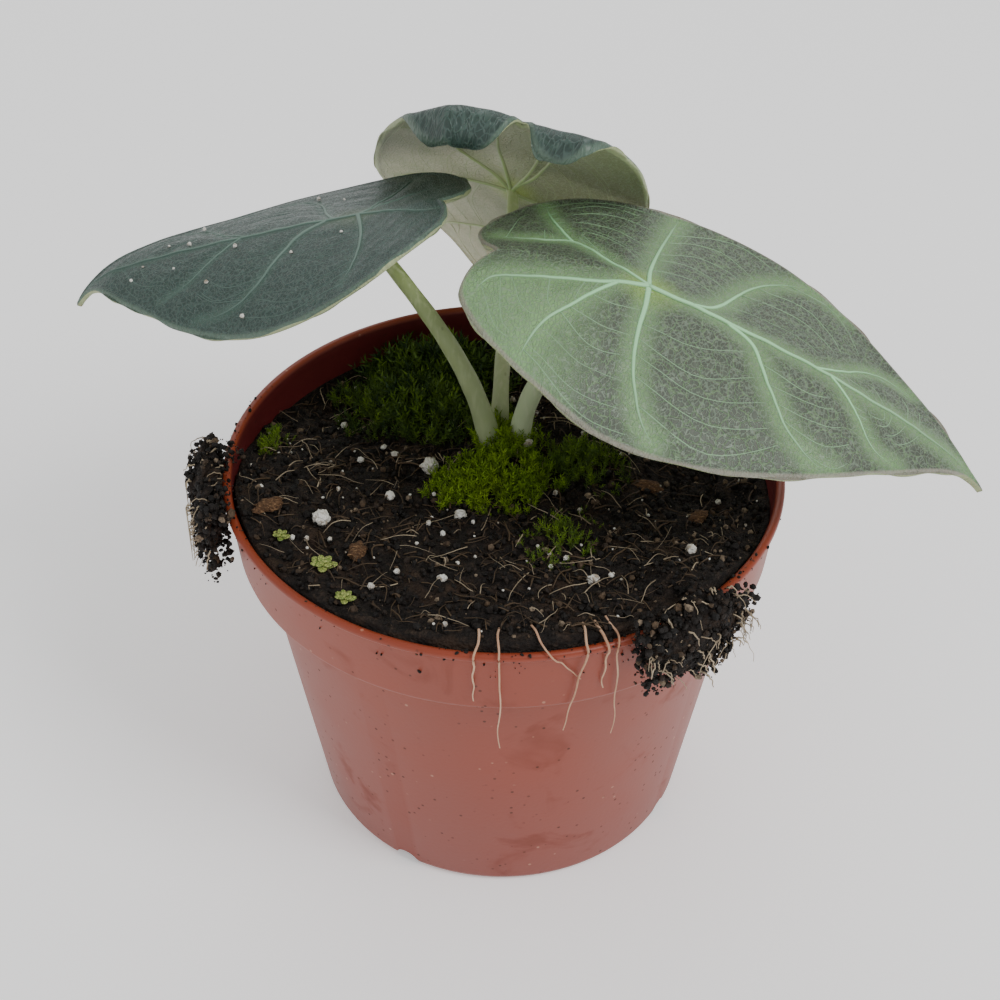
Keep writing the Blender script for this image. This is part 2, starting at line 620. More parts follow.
class Heap:
    """Gathers tubes and other shapes into one mesh."""

    def __init__(self):
        self.points, self.quads, self.tris, self.values = [], [], [], {}
        self.count = 0

    def add(self, points, quads=(), tris=(), **values):
        self.points.append(points)
        if len(quads):
            self.quads.append(np.asarray(quads) + self.count)
        if len(tris):
            self.tris.append(np.asarray(tris) + self.count)
        for key, value in values.items():
            value = np.asarray(value, float)
            self.values.setdefault(key, []).append(
                value if value.ndim and len(value) == len(points) else np.full(len(points), float(value)))
        self.count += len(points)

    def add_tube(self, shape):
        points, quads, caps, along, _ = shape
        self.add(points, quads, caps, along=along)

    def build(self, name, finishes, smooth=True):
        groups = [np.concatenate(part) for part in (self.quads, self.tris) if part]
        values = {key: np.concatenate(part) for key, part in self.values.items()}
        return mesh_object(name, np.concatenate(self.points), groups, finishes, values, smooth=smooth)


def curve_through(corners, steps):
    """A smooth curve through all corners, with this many steps between two of them."""
    corners = np.asarray(corners, float)
    padded = np.concatenate([[2 * corners[0] - corners[1]], corners, [2 * corners[-1] - corners[-2]]])
    share = np.linspace(0, 1, steps + 1)[:-1, None]
    pieces = []
    for before, start, end, after in zip(padded, padded[1:], padded[2:], padded[3:]):
        pieces.append(0.5 * (2 * start + (end - before) * share
                             + (2 * before - 5 * start + 4 * end - after) * share**2
                             + (after + 3 * start - 3 * end - before) * share**3))
    return np.concatenate([*pieces, corners[-1:]])


def smooth_path(corners, count):
    """count points on the smooth curve through these corners, by equal shares of its length."""
    path = curve_through(corners, 12)
    length = np.concatenate([[0], np.cumsum(np.linalg.norm(np.diff(path, axis=0), axis=1))])
    wanted = np.linspace(0, length[-1], count)
    return np.stack([np.interp(wanted, length, path[:, axis]) for axis in range(path.shape[1])], -1)


def frames(path, up):
    """Across and above directions along a path, at right angles to it."""
    tangent = np.gradient(path, axis=0)
    tangent /= np.linalg.norm(tangent, axis=1)[:, None] + 1e-9
    up = np.broadcast_to(up, path.shape)
    across = np.cross(tangent, up)
    across /= np.linalg.norm(across, axis=1)[:, None] + 1e-9
    return across, np.cross(across, tangent)


def round_tube(path, radii, sides=8, up=UP):
    across, above = frames(path, up)
    radii = np.asarray(radii, float)
    return tube(path, across, above, radii, radii, sides)


def finish_piece(piece, slot, *nodes):
    """Puts a piece on the one body, names its slot and says which CAD solids it stands for."""
    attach(piece, "root")
    if nodes:
        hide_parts(*nodes)
    return piece


# Leaves


def outline():
    """The whole outline, from the tip round the left half to the notch and back."""
    curve = curve_through(HALF_OUTLINE, 16)
    return np.concatenate([curve, curve[-2::-1] * (1, -1)])


def bent(length, angle, bend):
    bend = np.where(np.abs(bend) < 1e-6, 1e-6, bend)
    ahead = (np.sin(angle + bend * length) - np.sin(angle)) / bend
    return ahead, (np.cos(angle) - np.cos(angle + bend * length)) / bend


def blade_turn(leaf):
    turn = (Matrix.Rotation(leaf["yaw"], 3, "Z") @ Matrix.Rotation(leaf["pitch"], 3, "Y")
            @ Matrix.Rotation(leaf["roll"], 3, "X"))
    return as_array(turn)


def blade_points(leaf, flat):
    """Points of the bent blade, with the far edge of a rolled leaf turned over towards its back."""
    if not leaf.get("rolled"):
        return open_blade(leaf, flat)
    limits, radius, stretch = leaf["rolled"]
    limit = np.interp(flat[:, 1], *limits)
    over = flat[:, 0] < limit
    fold = np.column_stack([np.where(over, limit, flat[:, 0]), flat[:, 1]])
    points = open_blade(leaf, fold)
    step = 2e-3
    out = points - open_blade(leaf, fold + (step, 0))
    out /= np.linalg.norm(out, axis=1)[:, None]
    side = open_blade(leaf, fold + (0, step)) - open_blade(leaf, fold - (0, step))
    normal = np.cross(-out, side)
    normal /= np.linalg.norm(normal, axis=1)[:, None]
    turn = np.where(over, (limit - flat[:, 0]) * leaf["length"] * leaf["lobe"] * stretch / radius, 0)[:, None]
    return points + radius * (out * np.sin(turn) - normal * (1 - np.cos(turn)))


def open_blade(leaf, flat):
    """Points of the bent blade for places on the flat outline."""
    along, across = flat[:, 0], flat[:, 1]
    length = leaf["length"]
    u = along * length * np.where(along < 0, leaf["lobe"], 1)
    v = across * leaf["half_width"] * np.where(across < 0, leaf["right_scale"], 1)
    u = u + leaf["shear"] * v
    straight = np.clip(u, 0, TIP_START * length)
    ahead, down = bent(straight, 0, leaf["droop"])
    slope = leaf["droop"] * straight
    over = np.clip(u - straight, 0, None)
    more, fall = bent(over, slope, leaf["tip_droop"])
    back, sink = bent(np.clip(-u, 0, None), 0, leaf["lobe_droop"])
    slope = np.where(u >= 0, slope + leaf["tip_droop"] * over, leaf["lobe_droop"] * u)
    rib_x = np.where(u >= 0, ahead + more, -back)
    rib_z = np.where(u >= 0, -down - fall, -sink)
    left = v > 0
    twist = leaf["twist"] * u / length * np.where(left, 1, -1)
    bend = np.where(left, leaf["left_bend"], leaf["right_bend"]) + (
        leaf["bend_change"] * np.clip(u, 0, None) + leaf["lobe_bend"] * np.clip(-u, 0, None)) / length
    out, drop = bent(np.abs(v), np.where(left, leaf["left_angle"], leaf["right_angle"]) + twist, bend)
    local = np.stack([rib_x - np.sin(slope) * drop, np.copysign(out, v), rib_z - np.cos(slope) * drop], -1)
    return local @ blade_turn(leaf).T + leaf["joint"]


def blade_surface(leaf, flat):
    """Points and upward normals of the blade."""
    step = 2e-3
    points = blade_points(leaf, flat)
    ahead = blade_points(leaf, flat + (step, 0)) - blade_points(leaf, flat - (step, 0))
    left = blade_points(leaf, flat + (0, step)) - blade_points(leaf, flat - (0, step))
    normal = np.cross(ahead, left)
    return points, normal / (np.linalg.norm(normal, axis=1)[:, None] + 1e-12)


def flat_mm(leaf, flat):
    return flat * (leaf["length"] * (1 + leaf["lobe"]) / 2, leaf["half_width"])


def distance_to(places, path):
    """Shortest distance of each place from a line of points."""
    nearest = np.full(len(places), np.inf)
    for start, end in zip(path, path[1:]):
        way = end - start
        share = np.clip((places - start) @ way / (way @ way + 1e-12), 0, 1)
        nearest = np.minimum(nearest, np.linalg.norm(places - start - share[:, None] * way, axis=1))
    return nearest


def vein_paths(name):
    """Every main vein as (points on the flat leaf, half width at the start, half width at the end)."""
    paths = [(smooth_path(MIDRIB, 60), MIDRIB_WIDTH[name], 0.22)]
    for side in ("left", "right"):
        for start, end, places in VEINS[name][side]:
            paths.append((smooth_path(places, 40), start, end))
    return paths


def cross_veins(name):
    """Thin veins that loop from one main vein to the next, bowed towards the margin."""
    made = []
    for side, sign in (("left", 1), ("right", -1)):
        ordered = [smooth_path(places, 40) for _, _, places in VEINS[name][side]]
        ordered.append(smooth_path(((0.55, 0.0), (0.7, 0.0), (0.9, 0.0)), 40))
        for first, second in zip(ordered, ordered[1:]):
            for place in (0.28, 0.42, 0.56, 0.70, 0.83, 0.95):
                start = first[int(39 * min(place + random.uniform(-0.05, 0.05), 1))]
                end = second[int(39 * min(place + random.uniform(-0.08, 0.05), 1))]
                span = np.linalg.norm(end - start)
                bow = np.array((0.0, sign)) * span * random.uniform(0.10, 0.35)
                bow += (start + end) / 2 * 0.10 * random.uniform(0.3, 1.0)
                made.append(smooth_path((start, start * 0.62 + end * 0.38 + bow * 0.9,
                                         start * 0.35 + end * 0.65 + bow * 0.8, end), 14))
    return made


def inside_margin(path, share=0.97):
    """The part of a path that stays within this share of the outline."""
    curve = outline()
    turn = np.unwrap(np.arctan2(curve[:, 1], curve[:, 0] + 1e-9))
    reach = np.linalg.norm(curve, axis=1)
    order = np.argsort(turn % math.tau)
    limit = np.interp(np.arctan2(path[:, 1], path[:, 0]) % math.tau, (turn % math.tau)[order], reach[order],
                      period=math.tau)
    keep = np.linalg.norm(path, axis=1) < limit * share
    last = len(keep) if keep.all() else max(int(np.argmin(keep)), 2)
    return path[:last]


BLADE_HALF = 0.40  # half the blade's thickness
EDGE_ROLL = 0.28


def relief(in_mm, vein, fine, margin, top):
    """How far each face lies from the blade's middle.

    The margin is rounded and thick, and the panels swell between the veins.
    """
    round_off = np.sqrt(np.clip(1 - (1 - np.clip(margin / 0.55, 0, 1)) ** 2, 0, 1))
    body = BLADE_HALF * round_off + EDGE_ROLL * np.exp(-((margin - 0.9) / 0.6) ** 2) * round_off
    quilt = 0.42 * (1 - np.exp(-((vein / 3.2) ** 2))) - 0.10 * np.exp(-((fine / 1.0) ** 2))
    quilt += 0.25 * np.array([noise.noise(Vector((x, y, 3.0)) * 0.22) for x, y in in_mm])
    quilt *= np.clip(margin / 5.0, 0, 1)
    swell = 0.35 * np.array([noise.noise(Vector((x, y, 9.0)) * 0.06) for x, y in in_mm])
    below = -body + quilt * 0.55 - 0.25 * np.exp(-((vein / 1.5) ** 2)) * round_off
    return np.where(top, body + quilt, below) + swell


def make_leaf(name, upper, under, vein_upper, vein_under, slot):
    leaf = LEAVES[name]
    piece = sphere("leaf_" + name + "_blade", 360, 200)
    mesh = piece.data
    unit = get_points(mesh)
    polar = np.arccos(np.clip(unit[:, 2], -1, 1)) / (math.pi / 2)
    share = 1 - np.abs(polar - 1)
    radius = 1 - (1 - share) ** 1.5
    turn = np.arctan2(unit[:, 1], unit[:, 0]) / math.tau % 1
    curve = outline()
    length = np.concatenate([[0], np.cumsum(np.linalg.norm(np.diff(curve, axis=0), axis=1))])
    ends = np.stack([np.interp(turn * length[-1], length, curve[:, axis]) for axis in (0, 1)], -1)
    # the edge waves a little in and out
    wave = 1 + 0.006 * np.sin(turn * math.tau * 9 + len(name)) + 0.004 * np.sin(turn * math.tau * 23)
    flat = ends * (radius * wave)[:, None]
    in_mm = flat_mm(leaf, flat)
    edge_mm = flat_mm(leaf, ends)
    margin = np.linalg.norm(edge_mm - in_mm, axis=1)
    top = unit[:, 2] >= 0
    mains = vein_paths(name)
    vein = np.full(len(flat), 30.0)
    for path, start, _ in mains:
        weight = 1.0 if start > 0.5 else 1.3
        vein = np.minimum(vein, weight * distance_to(in_mm, flat_mm(leaf, path[::2])))
    thin = cross_veins(name)
    fine = np.full(len(flat), 30.0)
    for path in thin:
        fine = np.minimum(fine, distance_to(in_mm, flat_mm(leaf, path[::3])))
    points, normal = blade_surface(leaf, flat)
    lift = relief(in_mm, vein, fine, margin, top)
    set_points(mesh, (points + normal * lift[:, None]) * MM)
    centre = np.linalg.norm(in_mm, axis=1)
    lobe = np.clip((-in_mm[:, 0] - 4) / 16, 0, 1) * np.clip(-in_mm[:, 1] / 12, 0, 1)
    for key, values in (("vein", vein), ("margin", margin), ("centre", centre), ("lobe", lobe),
                        ("right", np.clip(0.5 - in_mm[:, 1] / 8, 0, 1)),
                        ("flat", np.column_stack([in_mm, np.zeros(len(flat))]))):
        set_attribute(mesh, key, values)
    for finish in (upper, under, vein_upper, vein_under):
        mesh.materials.append(finish)
    mesh.polygons.foreach_set("material_index", (face_levels(unit, mesh) < 0).astype(np.int32))
    mesh.polygons.foreach_set("use_smooth", np.full(len(mesh.polygons), True))
    mesh.update()
    finish_piece(piece, slot, "leaf_" + name)

    def distances(places):
        mains_away = np.min([distance_to(places, flat_mm(leaf, path[::2])) for path, _, _ in mains], axis=0)
        thin_away = np.min([distance_to(places, flat_mm(leaf, path[::3])) for path in thin], axis=0)
        return mains_away, thin_away, distance_to(places, flat_mm(leaf, curve))

    for face, finish, raised in (("upper", vein_upper, 1), ("under", vein_under, -1)):
        heap = Heap()
        for path, start, end in mains:
            path = inside_margin(path)
            if len(path) < 4:
                continue
            add_vein(heap, leaf, path, (start, end), raised, 0.28 if raised > 0 else 0.6, distances)
        for path in thin:
            path = inside_margin(path)
            if len(path) >= 4:
                add_vein(heap, leaf, path, (random.uniform(0.09, 0.19), 0.08), raised, 0.10, distances)
        finish_piece(heap.build(f"leaf_{name}_veins_{face}", [finish]), slot)


def face_levels(unit, mesh):
    """For each face, the sum of its corners' heights on the unit sphere."""
    corners = np.empty(len(mesh.loops), np.int32)
    mesh.loops.foreach_get("vertex_index", corners)
    starts = np.empty(len(mesh.polygons), np.int32)
    mesh.polygons.foreach_get("loop_start", starts)
    return np.add.reduceat(unit[corners, 2], starts)


def add_vein(heap, leaf, path, half_widths, raised, height, distances):
    """A vein as a flat tapered tube that lies half sunk in one face of the blade."""
    points, normal = blade_surface(leaf, path)
    start, end = half_widths
    in_mm = flat_mm(leaf, path)
    level = relief(in_mm, *distances(in_mm), np.full(len(path), raised > 0)) * raised
    share = np.linspace(0, 1, len(path))
    half = (start + (end - start) * share**0.8) * np.clip((1 - share) * 6, 0.05, 1)
    normal = normal * raised
    tangent = np.gradient(points, axis=0)
    across = np.cross(tangent, normal)
    across /= np.linalg.norm(across, axis=1)[:, None]
    high = np.minimum(height, half * 0.8)
    shape = tube(points + normal * (level - 0.03)[:, None], across, normal, half, high, 8)
    flat = np.concatenate([np.repeat(in_mm, 8, axis=0), in_mm[:1], in_mm[-1:]])
    flat = np.column_stack([flat, np.zeros(len(flat))])
    heap.add(shape[0], shape[1], shape[2], along=shape[3], across=shape[4], flat=flat,
             main=float(start > 0.25))


WHITE_SPECKS = (
    (0.56, -0.35), (0.70, 0.08), (0.56, -0.06), (0.73, 0.18), (0.58, 0.19), (0.45, 0.40), (0.17, 0.35),
    (0.30, 0.77), (0.22, -0.65), (0.11, -0.48), (0.02, 0.25), (0.38, 0.12), (0.64, -0.12),
)


def make_leaf_specks(finish):
    """Crumbs of perlite that lie on the left leaf."""
    flat = np.array(WHITE_SPECKS)
    points, normal = blade_surface(LEAVES["left"], flat)
    size = random.uniform(0.28, 0.62, len(flat))
    places = points + normal * (BLADE_HALF + 0.35 + size * 0.3)[:, None]
    points, faces, _ = scatter(crumb_shapes()[0], places, size, turns(len(flat)))
    heap = Heap()
    heap.add(points, tris=faces)
    finish_piece(heap.build("leaf_left_specks", [finish], smooth=False), "perlite")


# Stalks and the crown


def bezier(corners, share):
    rest = 1 - share[:, None]
    share = share[:, None]
    first, second, third, last = (np.asarray(corner, float) for corner in corners)
    return rest**3 * first + 3 * rest**2 * share * second + 3 * rest * share**2 * third + share**3 * last


def make_stalk(name, finish):
    stalk, leaf = STALKS[name], LEAVES[name]
    foot_radius, top_radius = stalk["radii"]
    normal = blade_turn(leaf) @ (0, 0, 1)
    foot = np.array(CROWN) + stalk["foot"] + (0, 0, 0.3 + 0.4 * foot_radius)
    top = np.array(leaf["joint"]) - normal * (1.1 + top_radius * 1.1)
    reach = np.linalg.norm(top - foot)
    corners = (foot, foot + np.array(stalk["rise"]) * reach, top - np.array(stalk["arrive"]) * reach, top)
    path = bezier(corners, np.linspace(0, 1, 70))
    # the top bends into the blade, and the foot widens into a sheath
    into = np.linspace(0, 1, 8)[1:, None]
    path = np.concatenate([path, top + into * (np.array(leaf["joint"]) - normal * 0.1 - top)])
    share = np.linspace(0, 1, len(path))
    radii = foot_radius + (top_radius - foot_radius) * share**0.7
    radii = radii * (1 + 0.16 * np.exp(-share / 0.05)) * (1 + 0.30 * np.exp(-((1 - share) / 0.035)))
    radii = radii * (1 + 0.02 * np.sin(share * 41 + len(name)))
    across, above = frames(path, np.array((0.0, -1.0, 0.02)))
    heap = Heap()
    heap.add_tube(tube(path, across, above, radii, radii * 0.96, 28))
    return finish_piece(heap.build("stalk_" + name + "_skin", [finish]), "stalk", "stalk_" + name)


# Soil and what lies on it


def soil_height(x, y):
    height = SOIL_LEVEL + SOIL_TILT * y
    for centre_x, centre_y, radius, rise in SWELLS:
        height = height + rise * np.exp(-((x - centre_x) ** 2 + (y - centre_y) ** 2) / radius**2)
    place = Vector((x, y, 0)) / 8.0
    return float(height) + 1.3 * noise.fractal(place, 1.0, 2.0, 3)


def heights(places):
    return np.array([soil_height(x, y) for x, y in places])


def within_pot(places, radius=56.6):
    return np.linalg.norm(places, axis=1) < radius


def make_soil(finish):
    piece = sphere("soil_bed", 200, 130)
    unit = get_points(piece.data)
    polar = np.arccos(np.clip(unit[:, 2], -1, 1)) / (math.pi / 2)
    turn = np.arctan2(unit[:, 1], unit[:, 0])
    out = np.stack([np.cos(turn), np.sin(turn)], -1)
    top = polar <= 1
    radius = np.clip(polar, 0, 1) * 57.4
    flat = out * radius[:, None]
    rough = np.array([noise.fractal(Vector((x, y, 4)) / 2.4, 0.9, 2.1, 4) for x, y in flat])
    z = heights(flat) + 0.8 * rough
    # down the wall, then in along the base
    below = np.clip(polar - 1, 0, 1)
    wall = np.interp(below, (0, 0.03, 0.15, 0.2, 0.7, 0.75, 1), (57.3, 57.0, 56.2, 51.9, 41.2, 39.8, 0))
    down = np.interp(below, (0, 0.03, 0.15, 0.2, 0.7, 0.75, 1), (80.0, 79.0, 73.4, 71.2, 2.4, 1.4, 1.4))
    flat[~top] = out[~top] * wall[~top, None]
    z[~top] = down[~top]
    set_points(piece.data, np.column_stack([flat, z]) * MM)
    piece.data.materials.append(finish)
    bpy.ops.object.shade_smooth()
    finish_piece(piece, "soil", "soil")


def crumb_shapes():
    """Three rough crumbs of twenty faces."""
    points, faces = template("primitive_ico_sphere_add", subdivisions=1, radius=1)
    made = []
    for number in range(3):
        shift = Vector((number * 7, 0, 0))
        dents = np.array([[noise.noise(Vector(point) * 1.7 + shift)] for point in points])
        moved = points * (1 + 0.45 * dents)
        made.append((moved * random.uniform(0.7, 1.2, 3), faces))
    return made


def make_crumbs(finish):
    heap = Heap()
    for shape in crumb_shapes():
        count = 3200
        places = random.uniform(-57, 57, (count * 2, 2))
        places = places[within_pot(places)][:count]
        count = len(places)
        size = 0.16 + 0.70 * random.uniform(0, 1, count) ** 4
        z = heights(places) + size * 0.35 + random.uniform(-0.2, 0.5, count)
        points, faces, copy = scatter(shape, np.column_stack([places, z]), size, turns(count))
        heap.add(points, tris=faces, shade=(random.uniform(0, 1, count) ** 1.3)[copy])
    piece = heap.build("soil_crumbs", [finish], smooth=False)
    finish_piece(piece, "soil")


def lying_path(start, turn, length, curl, lift, count=9, arch=0.0):
    """A thin thing that lies on the soil and curls as it goes."""
    step = length / (count - 1)
    place = np.array(start, float)
    path = []
    for number in range(count):
        share = number / (count - 1)
        z = soil_height(*place) + lift + arch * math.sin(share * math.pi)
        path.append((place[0], place[1], z))
        turn += curl * step + random.normal(0, 0.10)
        place = place + step * np.array((math.cos(turn), math.sin(turn)))
        if np.linalg.norm(place) > 56.5:
            place *= 56.5 / np.linalg.norm(place)
    path = np.array(path)
    # a stiff thing doesn't follow every dip
    path[:, 2] = np.convolve(np.pad(path[:, 2], 2, mode="edge"), np.ones(5) / 5, "valid") + 0.15
    return path


def make_fibres(name, finish, slot, count, lengths, radii, curl, lift, arch):
    heap = Heap()
    for _ in range(count):
        while True:
            start = random.uniform(-55, 55, 2)
            if np.linalg.norm(start) < 55:
                break
        length = random.uniform(*lengths) * random.uniform(0.4, 1)
        path = lying_path(start, random.uniform(0, math.tau), length, random.normal(0, curl), lift,
                          arch=random.uniform(0, arch))
        path = smooth_path(path, 12)
        radius = random.uniform(*radii) * np.linspace(1, 0.45, 12)
        heap.add_tube(round_tube(path, radius, 5))
    return finish_piece(heap.build(name, [finish]), slot)


def lump(name, centre, radii, turn, detail, rough, finish, slot, node, seed):
    bpy.ops.object.select_all(action="DESELECT")
    bpy.ops.mesh.primitive_ico_sphere_add(subdivisions=detail, radius=1)
    piece = bpy.context.object
    piece.name = piece.data.name = name
    points = get_points(piece.data)
    shift = Vector((seed, 0, 0))
    grow = np.array([1 + rough * noise.fractal(Vector(point) * 1.5 + shift, 0.8, 2.0, 4) for point in points])
    points = points * grow[:, None] * radii
    spin = as_array(Matrix.Rotation(turn, 3, "Z"))
    set_points(piece.data, (points @ spin.T + centre) * MM)
    piece.data.materials.append(finish)
    bpy.ops.object.shade_smooth()
    return finish_piece(piece, slot, *([node] if node else []))


def make_bits(perlite, bark, liverwort):
    for number, (x, y, radius) in enumerate(PERLITE, 1):
        centre = (x, y, soil_height(x, y) + radius * 0.7)
        lump(f"perlite_grain_{number}", centre, np.array((1.0, 0.9, 0.85)) * radius, number, 4, 0.28, perlite,
             "perlite", f"perlite_{number}", number * 3.0)
    for number, (x, y, length, width, thick, turn) in enumerate(CHIPS, 1):
        centre = (x, y, soil_height(x, y) + thick * 0.7)
        radii = np.array((length, width, thick * 1.1)) * 0.52
        lump(f"bark_chip_{number}", centre, radii, math.radians(turn), 4, 0.30, bark, "bark", f"bark_{number}",
             number * 5.0)
    for number, (x, y, radius) in enumerate(ROSETTES, 1):
        heap = Heap()
        points, faces = template("primitive_uv_sphere_add", segments=10, ring_count=6, radius=1)
        for leaf in range(9):
            turn = leaf * 2.4
            size = radius * (0.65 - 0.035 * leaf)
            spin = as_array(Matrix.Rotation(turn, 3, "Z"))
            lobe = points * (size, size * 0.62, 0.22) + (size * 0.72, 0, 0.35 + 0.14 * leaf)
            lobe[:, 2] += 0.20 * np.linalg.norm(lobe[:, :2], axis=1)
            heap.add(lobe @ spin.T + (x, y, soil_height(x, y)), tris=faces)
        finish_piece(heap.build(f"rosette_leaves_{number}", [liverwort]), "liverwort", f"rosette_{number}")
    heap = Heap()
    for shape in crumb_shapes()[:2]:
        places = random.uniform(-55, 55, (90, 2))
        places = places[within_pot(places, 55)]
        size = 0.25 + 0.65 * random.uniform(0, 1, len(places)) ** 3
        z = heights(places) + size * 0.8 + 0.3
        points, faces, copy = scatter(shape, np.column_stack([places, z]), size, turns(len(places)))
        heap.add(points, tris=faces)
    finish_piece(heap.build("perlite_specks", [perlite], smooth=False), "perlite")


def shoot_shape():
    """One moss shoot of unit height: a thin stem with ten narrow pointed leaves."""
    heap = Heap()
    points, faces = template("primitive_cone_add", vertices=3, radius1=1, radius2=0, depth=1)
    heap.add(points * (0.045, 0.045, 1) + (0, 0, 0.5), tris=faces)
    for number in range(11):
        spin = Matrix.Rotation(number * 2.4, 3, "Z") @ Matrix.Rotation(math.radians(58 - 2 * number), 3, "Y")
        spin = as_array(spin)
        leaf = (points * (0.035, 0.05, 0.42 - 0.018 * number) + (0, 0, 0.19)) @ spin.T
        heap.add(leaf + (0, 0, 0.18 + 0.072 * number), tris=faces)
    return np.concatenate(heap.points), np.concatenate(heap.tris)


def make_moss(name, finish, shoot, count, tall, bright, spread):
    x, y, along, across, turn, height = MOSSES[name]
    share = np.sqrt(random.uniform(0, 1, count)) * spread
    angle = random.uniform(0, math.tau, count)
    # a ragged edge
    edge = [noise.noise(Vector((math.cos(way) * 2, math.sin(way) * 2, x))) for way in angle]
    share = share * (1 + 0.35 * np.array(edge))
    local = np.stack([share * np.cos(angle) * along, share * np.sin(angle) * across], -1)
    spin = math.radians(turn)
    places = local @ np.array(((math.cos(spin), math.sin(spin)), (-math.sin(spin), math.cos(spin)))) + (x, y)
    thick = np.array([noise.noise(Vector((px, py, 2.0)) / 3.0) for px, py in places])
    keep = within_pot(places, 57.0) & (thick > -0.12 - 0.5 * (1 - share))
    places, share = places[keep], share[keep]
    count = len(places)
    size = tall * random.uniform(0.55, 1.25, count) * (1.15 - 0.4 * share)
    base = heights(places) + height * np.clip(1 - share**2, 0, 1) * 0.55 - 0.4
    wide = size * random.uniform(0.7, 1.0, count)
    points, faces, copy = scatter(
        shoot, np.column_stack([places, base]), np.column_stack([wide, wide, size]), turns(count, 0.75))
    radius = np.linalg.norm(points[:, :2], axis=1)
    over = radius > 57.6
    points[over, :2] *= (57.6 / radius[over])[:, None]
    rise = np.tile(np.clip(shoot[0][:, 2], 0, 1), count)
    shade = np.clip(bright + random.normal(0, 0.16, count), 0, 1)[copy]
    heap = Heap()
    heap.add(points, tris=faces, shade=shade, height=rise)
    solids = [name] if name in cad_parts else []
    finish_piece(heap.build(name + "_shoots", [finish], smooth=False), "moss", *solids)


def over_rim(distance, lift):
    over = math.radians(CLUMP_START) - distance / CLUMP_BEND
    below = np.clip(-over, 0, None) * CLUMP_BEND
    over = np.clip(over, 0, None)
    reach = CLUMP_BEND + lift
    return RIM_RADIUS + reach * np.cos(over), POT_HEIGHT + reach * np.sin(over) - below


def clump_points(ball, degrees, half_span, length):
    across, out, up = ball.T
    turn = np.radians(degrees) - across * half_span / RIM_RADIUS
    radius, z = over_rim((1 - up) * length / 2, out * CLUMP_THICKNESS)
    return np.stack([radius * np.cos(turn), radius * np.sin(turn), z], -1)


def make_clump(name, earth, crumbs, straw):
    degrees, half_span, length = CLUMPS[name]
    piece = sphere(name + "_body", 64, 48)
    unit = get_points(piece.data)
    shift = Vector((degrees, 0, 0))
    rough = np.array([1 + 0.28 * noise.fractal(Vector(point) * 2.4 + shift, 0.8, 2.0, 4) for point in unit])
    ball = unit * (rough * 0.74)[:, None]
    ball[:, 1] = np.where(ball[:, 1] < 0, ball[:, 1] * 1.5, ball[:, 1]).clip(-1.12, 1)
    set_points(piece.data, clump_points(ball, degrees, half_span, length) * MM)
    piece.data.materials.append(earth)
    bpy.ops.object.shade_smooth()
    bpy.ops.object.mode_set(mode="EDIT")
    bpy.ops.mesh.select_all(action="SELECT")
    bpy.ops.mesh.normals_make_consistent(inside=False)
    bpy.ops.object.mode_set(mode="OBJECT")
    finish_piece(piece, "soil", name)
    heap = Heap()
    for shape in crumb_shapes():
        count = 800
        ball = random.normal(0, 1, (count, 3))
        ball /= np.linalg.norm(ball, axis=1)[:, None]
        ball *= (random.uniform(0.55, 1.08, count) * (1 + 0.25 * np.sin(7 * ball[:, 0] + degrees)))[:, None]
        ball[:, 1] = np.where(ball[:, 1] < 0, ball[:, 1] * 1.5, ball[:, 1]).clip(-1.15, 0.9)
        places = clump_points(ball, degrees, half_span, length)
        size = 0.2 + 0.85 * random.uniform(0, 1, count) ** 3.4
        points, faces, copy = scatter(shape, places, size, turns(count))
        heap.add(points, tris=faces, shade=(random.uniform(0, 1, count) ** 1.2)[copy])
    finish_piece(heap.build(name + "_crumbs", [crumbs], smooth=False), "soil")
    heap = Heap()
    for _ in range(60):
        ball = random.normal(0, 1, 3)
        ball /= np.linalg.norm(ball)
        ball[1] = abs(ball[1])
        start = clump_points(ball[None] * 0.9, degrees, half_span, length)[0]
        way = np.array((*(start[:2] / np.linalg.norm(start[:2])), 0.3)) + random.normal(0, 0.5, 3)
        way /= np.linalg.norm(way)
        reach = random.uniform(2.0, 7.0)
        share = np.linspace(0, 1, 10)[:, None]
        path = start + way * reach * share + np.array((0, 0, -1.0)) * reach * 0.9 * share**2
        path = path + random.normal(0, 0.12, path.shape)
        outer = np.linalg.norm(path[:, :2], axis=1)
        far = np.clip(outer / (RIM_RADIUS + CLUMP_BEND + CLUMP_THICKNESS + 0.5), 1, None)
        path[:, :2] /= far[:, None]
        radius = random.uniform(0.10, 0.22) * np.linspace(1, 0.5, 10)
        heap.add_tube(round_tube(path, radius, 5))
    finish_piece(heap.build(name + "_strands", [straw]), "root")


def make_rim_crumbs(finish):
    """Small crumbs that cling to the rim and the collar below it."""
    heap = Heap()
    for shape, spread, middle in zip(crumb_shapes(), (26, 12, 15), (-78, -52, 186)):
        count = 110
        turn = np.radians(random.normal(middle, spread, count))
        fall = random.uniform(0, 1, count) ** 2 * 9 - 1.6
        z = np.where(fall < 0, POT_HEIGHT + 0.15, POT_HEIGHT - fall)
        radius = np.where(fall < 0, RIM_RADIUS + fall, [pot_outside(min(level, 87.5)) + 0.1 for level in z])
        size = 0.12 + 0.4 * random.uniform(0, 1, count) ** 3
        places = np.column_stack([radius * np.cos(turn), radius * np.sin(turn), z])
        points, faces, copy = scatter(shape, places, size, turns(count))
        heap.add(points, tris=faces, shade=(random.uniform(0, 0.9, count))[copy])
    finish_piece(heap.build("rim_crumbs", [finish], smooth=False), "soil")


def pot_outside(height):
    """The pot's outer radius at a height."""
    outside = POT_PROFILE[15:]
    return float(np.interp(height, [z for _, z in outside[::-1]], [radius for radius, _ in outside[::-1]]))


